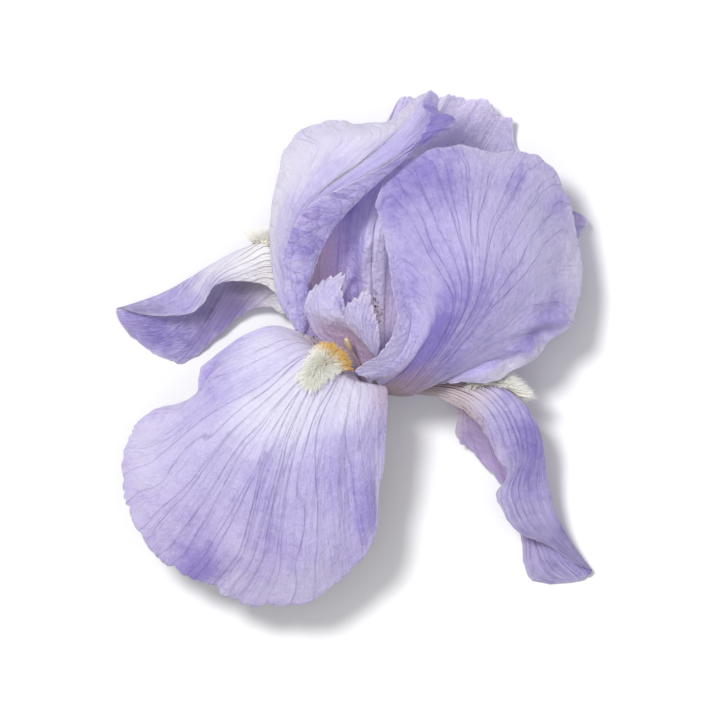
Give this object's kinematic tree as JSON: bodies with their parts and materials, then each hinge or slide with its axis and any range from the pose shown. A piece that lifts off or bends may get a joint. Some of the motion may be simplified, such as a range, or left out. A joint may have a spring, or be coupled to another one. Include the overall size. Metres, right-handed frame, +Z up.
{
  "type": "iris flower",
  "caption": "Cut bearded iris bloom lying on its back, with ruffled standing petals, drooping lower petals, furry beards and hooded style arms.",
  "frame": {"origin": "on the surface the bloom lies on, under the middle of its bounding box", "axes": "+Z up off the surface; +Y towards the tips of the standing petals, along the bloom's greatest extent; -Y towards the tip of the front drooping petal; +X to the right, seen from above"},
  "size_m": [0.1238, 0.1353, 0.0617],
  "materials": {
    "petal_lavender": "satin",
    "style_lavender": "satin",
    "beard_cream": "matte",
    "stamen_cream": "matte",
    "tube_green": "satin"
  },
  "bodies": {
    "root": {"floral_tube": "tube_green", "fall_front": "petal_lavender", "fall_left": "petal_lavender", "fall_right": "petal_lavender", "standard_left": "petal_lavender", "standard_right": "petal_lavender", "standard_back": "petal_lavender", "style_arm_front": "style_lavender", "style_arm_left": "style_lavender", "style_arm_right": "style_lavender", "stamen_front": "stamen_cream", "stamen_left": "stamen_cream", "stamen_right": "stamen_cream", "beard_front": "beard_cream", "beard_left": "beard_cream", "beard_right": "beard_cream"}
  },
  "joints": []
}
